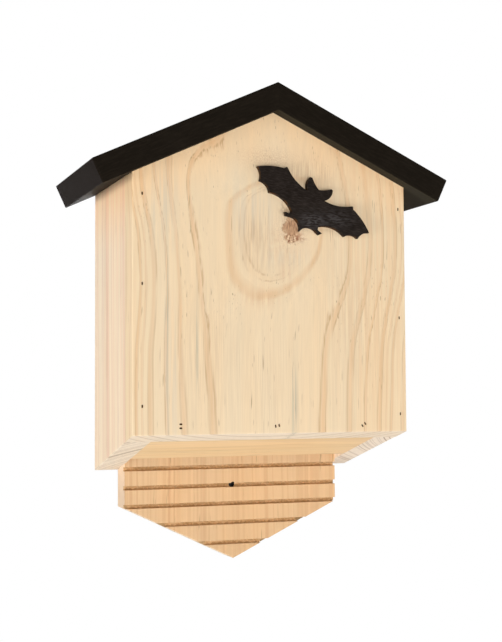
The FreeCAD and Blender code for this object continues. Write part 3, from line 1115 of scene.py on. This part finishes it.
knot_x, knot_down, _ = split(tree, knot_place)
beside = calc(tree, "ABSOLUTE", calc(tree, "ADD", knot_x, 1 * mm))
rim = times(tree, step(tree, knot_down, 1.5 * mm, 5 * mm), fall(tree, knot_edge, 8 * mm, 12 * mm),
            fall(tree, beside, 5 * mm, 9 * mm))
pale_flecks = times(tree, rim, step(tree, fleck, 0.55, 0.62, 0.0, 0.9))
color = mix(tree, pale_flecks, color, tint(252, 228, 190))
red_flecks = times(tree, rim, fall(tree, fleck, 0.38, 0.45, 0.9))
color = mix(tree, red_flecks, color, tint(134, 78, 50))
color = smudged(tree, coords, color, (
    (tint(170, 132, 96), 0.6, 10, 176, 4.5, 6, 500, 300),
    (tint(176, 118, 88), 0.8, 22, 153.5, 4.5, 2.6, 500, 500),
))
# Painted warm shade close below the roof, on the front too.
color = painted_eave_shade(tree, coords, color, depth=45 * mm, amount=0.45)
finish_wood(tree, shader, look, color)
front.data.materials.append(front_pine)
print(len(tree.nodes), "nodes in the front's pine")

# %% [markdown]
# ## Dark stain
# The roof and the bat are under a near-black stain. It could be one flat black, but a stain
# takes differently to each fibre. The roof's is thick and hardly shows them. The bat's is
# thinner, so they show as short grey streaks.

# %% Stain
def stained(name, turn, dark, pale, streaks, patches, fineness=900):
    """Pine under a near-black stain. Its colour isn't wired yet."""
    material, tree, shader = new_material(name)
    coords = own_place(tree)
    place = in_frame(tree, coords, (0, 0, 0), turn)
    streak = noise(tree, place, (fineness, fineness, fineness / 8), detail=3, roughness=0.6)
    patch = noise(tree, place, (60, 60, 30), detail=3)
    color = mix(tree, times(tree, step(tree, streak, 0.4, 0.7), streaks), dark, pale)
    color = mix(tree, times(tree, step(tree, patch, 0.48, 0.72), patches), color, pale)
    wire(shader, {"Roughness": scaled(tree, streak, 0.25, 0.5),
                  "Normal": relief(tree, streak, 0.3), "Specular IOR Level": 0.03})
    print(name, "with streaks", round(1 / fineness / mm, 2), "mm wide")
    return material, tree, shader, coords, color


# %% [markdown]
# The grain of each roof board runs down its slope. The undersides are painted paler, as light
# from below, the right one more than the left, and the sawn ends are darker because end grain
# soaks up more stain.

# %% Roof stain
# The first colour is painted light from below, for the roof's undersides.
underside_light_tint, end_black = tint(66, 62, 50), tint(20, 11, 6)
for board, turn, underside_light in ((roof_left, math.pi / 2 - pitch, 0.1),
                           (roof_right, pitch - math.pi / 2, 0.5)):
    material, tree, shader, coords, color = stained(
        board.name + "_stain", (0, turn, 0), tint(23, 18, 12), tint(38, 32, 25), 0.5, 0.3)
    sideways, _, upwards = split(tree, true_normal(tree))
    # Painted light from below on the downward faces.
    color = mix(tree, fall(tree, upwards, -0.85, -0.6, underside_light), color, underside_light_tint)
    on_end = step(tree, calc(tree, "ABSOLUTE", sideways), 0.6, 0.8, 0.0, 0.9)
    wire(shader, {"Base Color": mix(tree, on_end, color, end_black)})
    board.data.materials.append(material)

# %% [markdown]
# The bat is tilted, and its grain with it. Two worn patches show grey, and the stain missed
# parts of the sawn edges, which stay brown.

# %% Bat stain
bat_tilt = math.radians(9)
worn_grey, edge_brown = tint(106, 102, 102), tint(80, 54, 30)
material, tree, shader, coords, color = stained(
    "bat_stain", (0, math.pi / 2 + bat_tilt, 0), tint(29, 23, 19), tint(80, 71, 66), 0.3, 0.15,
    fineness=1500)
color = smudged(tree, coords, color, ((worn_grey, 0.5, 31, 167, 9, 6, 200, 900),
                                      (worn_grey, 0.3, 53, 170, 12, 6, 200, 900)))
burn = noise(tree, coords, (150, 60, 150))
on_edge = fall(tree, facing(tree, (0, -1, 0)), 0.3, 0.6)
cut_edge = times(tree, on_edge, step(tree, burn, 0.42, 0.62))
wire(shader, {"Base Color": mix(tree, cut_edge, color, edge_brown)})
emblem.data.materials.append(material)
print(len(tree.nodes), "nodes in the bat's stain")

# %% [markdown]
# ## Metal
# The brads are dull steel, and the hanger plate and its screws are zinc-plated. Metal under
# stain reflects little, so the roof's brads are a rough dark colour. The brads sunk in the wood
# are a rough dark brown, partly rust and partly painted shade of their slots.

# %% Metal
def metal(name, dark, pale, scale, rough, bare=1.0):
    """Metal with a cloudy surface. How much of it is bare metal goes from 0 to 1."""
    material, tree, shader = new_material(name)
    cloud = noise(tree, own_place(tree), (scale, scale, scale), detail=3)
    wire(shader, {"Base Color": mix(tree, step(tree, cloud, 0.35, 0.65), dark, pale),
                  "Roughness": scaled(tree, cloud, 0.2, rough),
                  "Metallic": bare, "Specular IOR Level": 0.5 * bare})
    return material


def give(material, *node_names):
    """Put a material on solids that stay as they are."""
    for name in node_names:
        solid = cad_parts[name]
        solid.data.materials.clear()
        solid.data.materials.append(material)
    print(material.name, "on", node_names)


# The sunk brads' dark brown is partly rust and partly painted shade of their slots.
brad_steel = metal("brad_steel", tint(62, 38, 18), tint(88, 58, 32), 900, 0.8, bare=0.0)
stained_brad = metal("stained_brad", tint(20, 17, 14), tint(40, 35, 30), 900, 0.6, bare=0.2)
zinc = metal("zinc", tint(132, 137, 142), tint(168, 172, 176), 320, 0.42)
screw_zinc = metal("screw_zinc", tint(150, 146, 128), tint(180, 176, 160), 700, 0.38)
give(brad_steel, "front_left_brads", "front_right_brads", "floor_brads",
     "back_left_brads", "back_right_brads")
give(stained_brad, "roof_left_brads", "roof_right_brads")
give(zinc, "hanger_plate")
screws.data.materials.append(screw_zinc)
